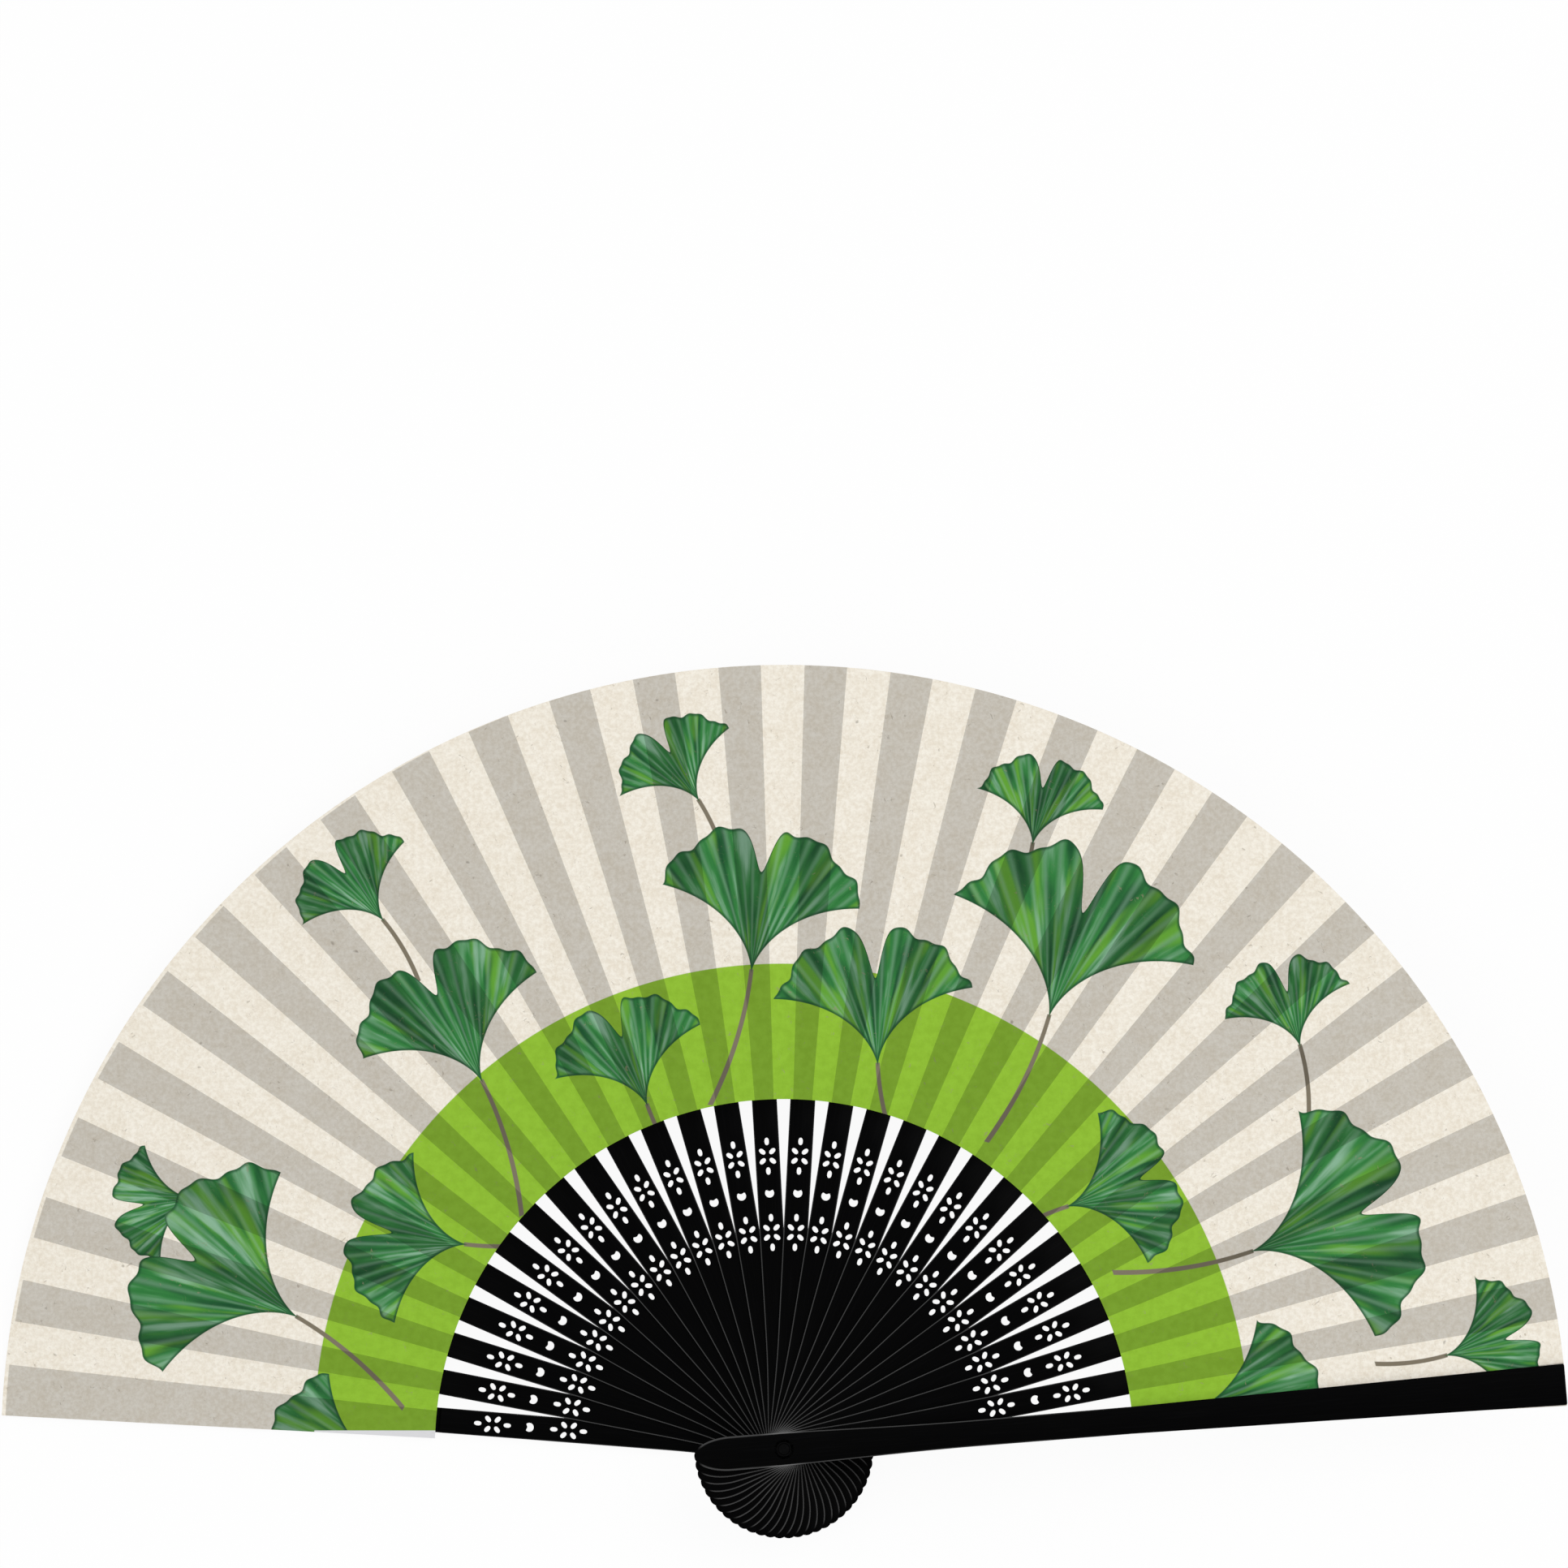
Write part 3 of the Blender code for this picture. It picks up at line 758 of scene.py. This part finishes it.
def rivet_hole():
    return oval(0.0, 0.0, 2 * sizes().hole, 2 * sizes().hole, 0.0, 32)


def piercings():
    outer, inner = FLOWERS_AT
    return flower(outer) + [seed_hole(SEED_AT)] + flower(inner)


def thinned(x, full, thin):
    """A thickness that changes from full to thin where the leaf's seat starts."""
    return full + (thin - full) * np.clip((x - thin_start()) / SEAT_DROP, 0.0, 1.0)


def guard_beyond(leaf_width, tip_width, guard_length):
    """A guard's side past the blades: a straight taper to a square end with rounded corners."""
    inner = leaf_sizes().inner
    corner = 0.5 * MM
    x = np.linspace(thin_start() + SEAT_DROP, guard_length - corner, 12)
    half = (leaf_width + (tip_width - leaf_width) * (x - inner) / (guard_length - inner)) / 2
    around = np.linspace(math.pi / 2, 0, 7)[1:]
    arc_x = x[-1] + corner * np.cos(around)
    arc_y = half[-1] - corner + corner * np.sin(around)
    return np.vstack((np.column_stack((x, half)), np.column_stack((arc_x, arc_y))))


def stick_beyond():
    """A stick's side past its blade: a short shoulder, then a narrow slip with a rounded end."""
    s = sizes()
    start = thin_start() + SEAT_DROP
    shoulder = leaf_sizes().inner + SHOULDER_FROM
    ease = np.linspace(0, 1, 8)
    x = shoulder + (shoulder_end() - shoulder) * ease
    half = (s.stick_width + (s.slip_width - s.stick_width) * (1 - np.cos(math.pi * ease)) / 2) / 2
    long_x = np.linspace(shoulder_end(), s.slip_end - s.slip_width / 2, 19)[1:]
    around = np.linspace(math.pi / 2, 0.25, 6)[1:]
    end_x = long_x[-1] + s.slip_width / 2 * np.cos(around)
    end_y = s.slip_width / 2 * np.sin(around)
    rows = (
        np.array([[start, s.stick_width / 2]]),
        np.column_stack((x, half)),
        np.column_stack((long_x, np.full(len(long_x), s.slip_width / 2))),
        np.column_stack((end_x, end_y)),
    )
    return np.vstack(rows)


def dress(piece, body, node):
    """Lets a piece ride on its body and take a node's place."""
    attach(piece, body)
    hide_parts(node)


class FAN_OT_rear_guard(bpy.types.Operator):
    """Build the rear guard, pierced like the sticks"""

    bl_idname = "fan.rear_guard"
    bl_label = "Rear guard"

    def execute(self, context):
        s = sizes()

        def low(x, y):
            return 0.0 * x

        def high(x, y):
            return thinned(x, s.guard, s.guard_thin)

        beyond = guard_beyond(s.stick_width, s.rear_tip, s.rear_length)
        widths = (s.stick_waist, s.stick_middle, s.stick_width)
        outline, links = slat_outline(s.waist_at, *widths, beyond)
        holes = [rivet_hole()] + piercings()
        guard = plate(slat_piece(0), outline, holes, links, low, high, REAR_BEVELS, 0, lacquer())
        dress(guard, "rear_guard", "rear_guard")
        return {"FINISHED"}


class FAN_OT_front_guard(bpy.types.Operator):
    """Build the plain front guard"""

    bl_idname = "fan.front_guard"
    bl_label = "Front guard"

    def execute(self, context):
        s = sizes()

        def low(x, y):
            return thinned(x, 0.0, s.guard - s.guard_thin)

        def high(x, y):
            return s.guard + 0.0 * x

        beyond = guard_beyond(s.guard_width, s.guard_tip, s.guard_length)
        widths = (s.guard_waist, s.guard_middle, s.guard_width)
        outline, links = slat_outline(s.guard_waist_at, *widths, beyond)
        holes = [rivet_hole()]
        guard = plate(slat_piece(FRONT), outline, holes, links, low, high, FRONT_BEVELS, FRONT, lacquer())
        dress(guard, "front_guard", "front_guard")
        return {"FINISHED"}


class FAN_OT_sticks(bpy.types.Operator):
    """Build the pierced sticks"""

    bl_idname = "fan.sticks"
    bl_label = "Sticks"

    def execute(self, context):
        s = sizes()

        def low(x, y):
            return -lean(x) * y

        def high(x, y):
            return low(x, y) + thinned(x, s.blade, s.slip)

        widths = (s.stick_waist, s.stick_middle, s.stick_width)
        outline, links = slat_outline(s.waist_at, *widths, stick_beyond())
        holes = [rivet_hole()] + piercings()
        for index in range(1, FRONT):
            name, piece = body_of_slat(index), slat_piece(index)
            stick = plate(piece, outline, holes, links, low, high, STICK_BEVELS, index, lacquer())
            dress(stick, name, name)
        return {"FINISHED"}


def panel_steps():
    """Places across one panel, closer together beside its folds."""
    return np.array([0.0, 0.03, 0.08, 0.2, 0.4, 0.6, 0.8, 0.92, 0.97, 1.0])


def leaf_seat(index):
    """Height of the paper's middle surface on a slat, or under the front guard."""
    s, half = sizes(), leaf_sizes().paper / 2
    if index == 0:
        return s.guard_thin + half + PROUD
    if index == FRONT:
        return level_of(FRONT) + s.guard - s.guard_thin - half - PROUD
    return level_of(index) + s.slip + half + PROUD


def panel_height(index, radius, share):
    """Height across the panel on a slat. share runs from 0 at its valley to 1 at its ridge."""
    slope = 0.0 if index in (0, FRONT) else 1.0
    half = radius * math.tan(sizes().pitch / 4)
    return leaf_seat(index) + slope * lean(radius) * half * (2 * share - 1)


def leaf_grid(index, panels):
    """The paper's middle surface over one or two panels, as radius, angle, height and panel share.

    Across the first panel the height follows its slat. Across the second it runs from that panel's
    ridge to the next one's valley, with a slight sag. Ridges and valleys are rounded by a small bell.
    The hem widens the first piece by the same length at every radius.
    """
    leaf = leaf_sizes()
    quarter = sizes().pitch / 4
    radius = np.linspace(leaf.inner, leaf.outer, 64)[:, None]
    steps = panel_steps()
    share = np.concatenate((steps, 1.0 + steps[1:]))[None, :] if panels == 2 else steps[None, :]
    hem = (leaf.hem if index == 0 else 0.0) / radius
    angle = quarter - 2 * quarter * share + hem * np.clip(1.0 - share, 0.0, 1.0) + 0.0 * radius
    first = panel_height(index, radius, np.minimum(share, 1.0))
    height = first
    if panels == 2:
        after = np.clip(share - 1.0, 0.0, 1.0)
        ridge = panel_height(index, radius, 1.0)
        valley = panel_height(index + 1, radius, 0.0)
        sag = SAG * 4 * after * (1 - after)
        height = np.where(share <= 1.0, first, ridge + (valley - ridge) * after - sag)
    across = 2 * quarter * radius
    round_off = FOLD_ROUND * np.clip((radius - leaf.inner) / FOLD_RAMP, 0.0, 1.0)
    bell = np.exp(-(((share - 1.0) * across / FOLD_BELL) ** 2))
    height = height - round_off * bell * (panels == 2)
    for place in (0.0, float(panels)):
        bell = np.exp(-(((share - place) * across / FOLD_BELL) ** 2))
        height = height + round_off * bell * (0.5 if index == 0 and place == 0.0 else 1.0)
    return radius + 0.0 * share, angle, height, share + 0.0 * radius


def leaf_piece(name, index, panels, material):
    """One slat's part of the leaf as a closed sheet, with its print kept in a UV map of the open leaf."""
    radius, angle, height, share = leaf_grid(index, panels)
    rows, columns = radius.shape
    half = leaf_sizes().paper / 2
    layers, uvs = [], []
    turned = angle + angle_of(index)
    for side in (-half, half):
        layer = np.stack((radius * np.cos(turned), radius * np.sin(turned), height + side), axis=-1)
        layers.append(layer.reshape(-1, 3))
        uvs.append(layer[..., :2].reshape(-1, 2))
    count = rows * columns
    number = np.arange(count).reshape(rows, columns)
    quad = np.stack((number[:-1, :-1], number[1:, :-1], number[1:, 1:], number[:-1, 1:]), axis=-1)
    quad = quad.reshape(-1, 4)
    faces = quad.tolist() + (quad[:, ::-1] + count).tolist()
    rim = np.concatenate((number[0, :-1], number[:-1, -1], number[-1, :0:-1], number[:0:-1, 0]))
    after = np.roll(rim, -1)
    faces += np.column_stack((rim, after, after + count, rim + count)).tolist()
    attributes = {
        "printed": np.repeat([0.0, 1.0], count),
        "shaded_panel": np.tile(np.where(share.ravel() < 1.0, 1.0, 0.0), 2),
    }
    piece = new_mesh_object(name, np.vstack(layers), faces, attributes, np.vstack(uvs), material, 0)
    return piece, np.tile(np.clip(share.ravel() - 1.0, 0.0, 1.0), 2)


class FAN_OT_leaf(bpy.types.Operator):
    """Build the pleated leaf, one piece to each slat"""

    bl_idname = "fan.leaf"
    bl_label = "Leaf"

    def execute(self, context):
        paper = paper_material()
        leaf = leaf_sizes()
        for index in range(FRONT):
            name = "leaf_pleat_%02d" % (index + 1)
            piece, weights = leaf_piece(name + "_paper", index, 2, paper)
            here, there = body_of_slat(index), body_of_slat(index + 1)
            ridge = angle_of(index) - sizes().pitch / 4
            valley = ridge - sizes().pitch / 2
            start = (leaf.outer * math.cos(ridge), leaf.outer * math.sin(ridge), leaf_seat(index))
            end = (leaf.outer * math.cos(valley), leaf.outer * math.sin(valley), leaf_seat(index))
            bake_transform(piece)
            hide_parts(name)
        piece, _ = leaf_piece("leaf_end_paper", FRONT, 1, paper)
        dress(piece, "front_guard", "leaf_end_strip")
        return {"FINISHED"}


def turned_solid(name, profile, material):
    """Turns a profile of radius and height about Z: point (r, z) becomes a circle of 64 points.

    A profile that starts and ends on the axis is closed by a single point at each end, and any other
    is closed on itself, as a ring.
    """
    count = 64
    around = np.linspace(0, math.tau, count, endpoint=False)
    has_poles = profile[0][0] == 0.0
    rows = np.array(profile[1:-1] if has_poles else profile)
    points = np.stack(
        (
            rows[:, :1] * np.cos(around),
            rows[:, :1] * np.sin(around),
            rows[:, 1:] + 0.0 * around,
        ),
        axis=-1,
    ).reshape(-1, 3)
    number = np.arange(len(rows) * count).reshape(len(rows), count)
    turned = np.roll(number, -1, axis=1)
    if not has_poles:
        number = np.vstack((number, number[:1]))
        turned = np.vstack((turned, turned[:1]))
    quads = np.stack((number[:-1], turned[:-1], turned[1:], number[1:]), axis=-1).reshape(-1, 4)
    faces = quads.tolist()
    if has_poles:
        start, end = len(points), len(points) + 1
        points = np.vstack((points, [[0.0, 0.0, profile[0][1]], [0.0, 0.0, profile[-1][1]]]))
        first, last = number[0], number[-1]
        faces += [[start, int(b), int(a)] for a, b in zip(first, np.roll(first, -1))]
        faces += [[end, int(a), int(b)] for a, b in zip(last, np.roll(last, -1))]
    return new_mesh_object(name, points, faces, {}, points[:, :2], material, math.radians(35))


class FAN_OT_rivet(bpy.types.Operator):
    """Build the rivet and the washer that it is closed over"""

    bl_idname = "fan.rivet"
    bl_label = "Rivet"

    def execute(self, context):
        steel = rivet_material()
        pin, head, thick, round_off = 1.5 * MM, 2.7 * MM, 0.6 * MM, 0.12 * MM
        profile = [(0.0, 0.0), (head - round_off, 0.0), (head, round_off), (head, thick), (pin, thick)]
        profile += [(pin, FAN_TOP - round_off), (pin - round_off, FAN_TOP), (0.0, FAN_TOP)]
        dress(turned_solid("rivet_pin", profile, steel), "rear_guard", "pivot_rivet")
        bore = pin + 0.04 * MM
        profile = [
            (bore, FAN_TOP - thick),
            (head, FAN_TOP - thick),
            (head, FAN_TOP - round_off),
            (head - round_off, FAN_TOP),
            (bore + round_off, FAN_TOP),
            (bore, FAN_TOP - round_off),
        ]
        ring = turned_solid("rivet_washer_ring", profile, steel)
        dress(ring, "rear_guard", "rivet_washer")
        return {"FINISHED"}


def floor_material():
    """A pale matt floor that shows near white to the camera and still takes the fan's shadow."""
    m = Recipe("studio floor")
    path = m.tree.nodes.new("ShaderNodeLightPath")
    seen = Value(m, path.outputs["Is Camera Ray"])
    glossy = Value(m, path.outputs["Is Glossy Ray"])
    through = Value(m, path.outputs["Is Transmission Ray"])
    glow = m.node("ShaderNodeEmission", {}, {"Color": (1.0, 1.0, 1.0, 1.0), "Strength": 1.0})
    m.finish(Base_Color=tuple(colours().floor), Roughness=0.9)
    whiteness = 0.94
    share = seen.most(glossy).most(through) * whiteness
    diffuse = Value(m, m.shader.outputs[0])
    both = m.node("ShaderNodeMixShader", {}, {0: share, 1: diffuse, 2: glow})
    m.feed(m.output.inputs["Surface"], both)
    return m.material


class FAN_OT_stage(bpy.types.Operator):
    """Set up the floor, the soft lights and the camera"""

    bl_idname = "fan.stage"
    bl_label = "Stage"

    def execute(self, context):
        scene = context.scene
        reach = 6.0
        under = -0.3 * MM
        world_strength = 0.505
        corners = np.array([[-1, -1, 0], [1, -1, 0], [1, 1, 0], [-1, 1, 0]]) * reach
        corners = corners + np.array([0.0, 0.0, under])
        material = floor_material()
        floor = new_mesh_object("floor", corners, [[0, 1, 2, 3]], {}, corners[:, :2], material, 0)
        self.add_light("key", (1.1, 0.7, 1.9), 1.6, 19.3)
        self.add_light("fill", (-1.3, 0.2, 1.8), 2.0, 11.0)
        self.add_light("rim", (0.2, -1.6, 1.4), 1.5, 6.4)
        world = bpy.data.worlds.new("studio")
        world.use_nodes = True
        back = world.node_tree.nodes["Background"]
        back.inputs["Color"].default_value = (1.0, 1.0, 1.0, 1.0)
        back.inputs["Strength"].default_value = world_strength
        scene.world = world
        # A long lens far above the fan shows it as flat as the photo does.
        view_width = 414.6 * MM
        view_center = 175.7 * MM
        lens, film = 1200.0, 36.0
        data = bpy.data.cameras.new("camera")
        data.lens = lens
        data.sensor_width = film
        data.clip_end = 100.0
        camera = bpy.data.objects.new("camera", data)
        camera.location = (0.0, view_center, FAN_TOP / 2 + view_width * lens / film)
        scene.collection.objects.link(camera)
        scene.camera = camera
        scene.view_settings.view_transform = "Standard"
        return {"FINISHED"}

    def add_light(self, name, place, size, power):
        """Adds a square soft light that faces the middle of the leaf."""
        data = bpy.data.lights.new(name, "AREA")
        data.size = size
        data.energy = power
        light = bpy.data.objects.new(name, data)
        light.location = place
        aim = Vector((0.0, 0.1, 0.0)) - Vector(place)
        light.rotation_euler = aim.to_track_quat("-Z", "Y").to_euler()
        bpy.context.scene.collection.objects.link(light)


class FAN_PT_panel(bpy.types.Panel):
    """Lists the fan's sizes, colours and steps"""

    bl_idname = "FAN_PT_panel"
    bl_label = "Folding fan"
    bl_space_type = "VIEW_3D"
    bl_region_type = "UI"
    bl_category = "Fan"

    def draw(self, context):
        for group in (context.scene.fan_slats, context.scene.fan_leaf, context.scene.fan_colours):
            box = self.layout.box()
            for key in group.__annotations__:
                box.prop(group, key)
        for step in STEPS:
            self.layout.operator(step.bl_idname)


GROUPS = {"fan_slats": SlatSizes, "fan_leaf": LeafSizes, "fan_colours": FanColours}
STEPS = (FAN_OT_stage, FAN_OT_rear_guard, FAN_OT_sticks, FAN_OT_front_guard, FAN_OT_rivet, FAN_OT_leaf)


def register():
    for made in (*GROUPS.values(), *STEPS, FAN_PT_panel):
        bpy.utils.register_class(made)
    for name, group in GROUPS.items():
        setattr(bpy.types.Scene, name, bpy.props.PointerProperty(type=group))


def unregister():
    for name in GROUPS:
        delattr(bpy.types.Scene, name)
    for made in reversed((*GROUPS.values(), *STEPS, FAN_PT_panel)):
        bpy.utils.unregister_class(made)


def main():
    register()
    for step in STEPS:
        group, operator = step.bl_idname.split(".")
        getattr(getattr(bpy.ops, group), operator)()


if __name__ == "__main__":
    main()
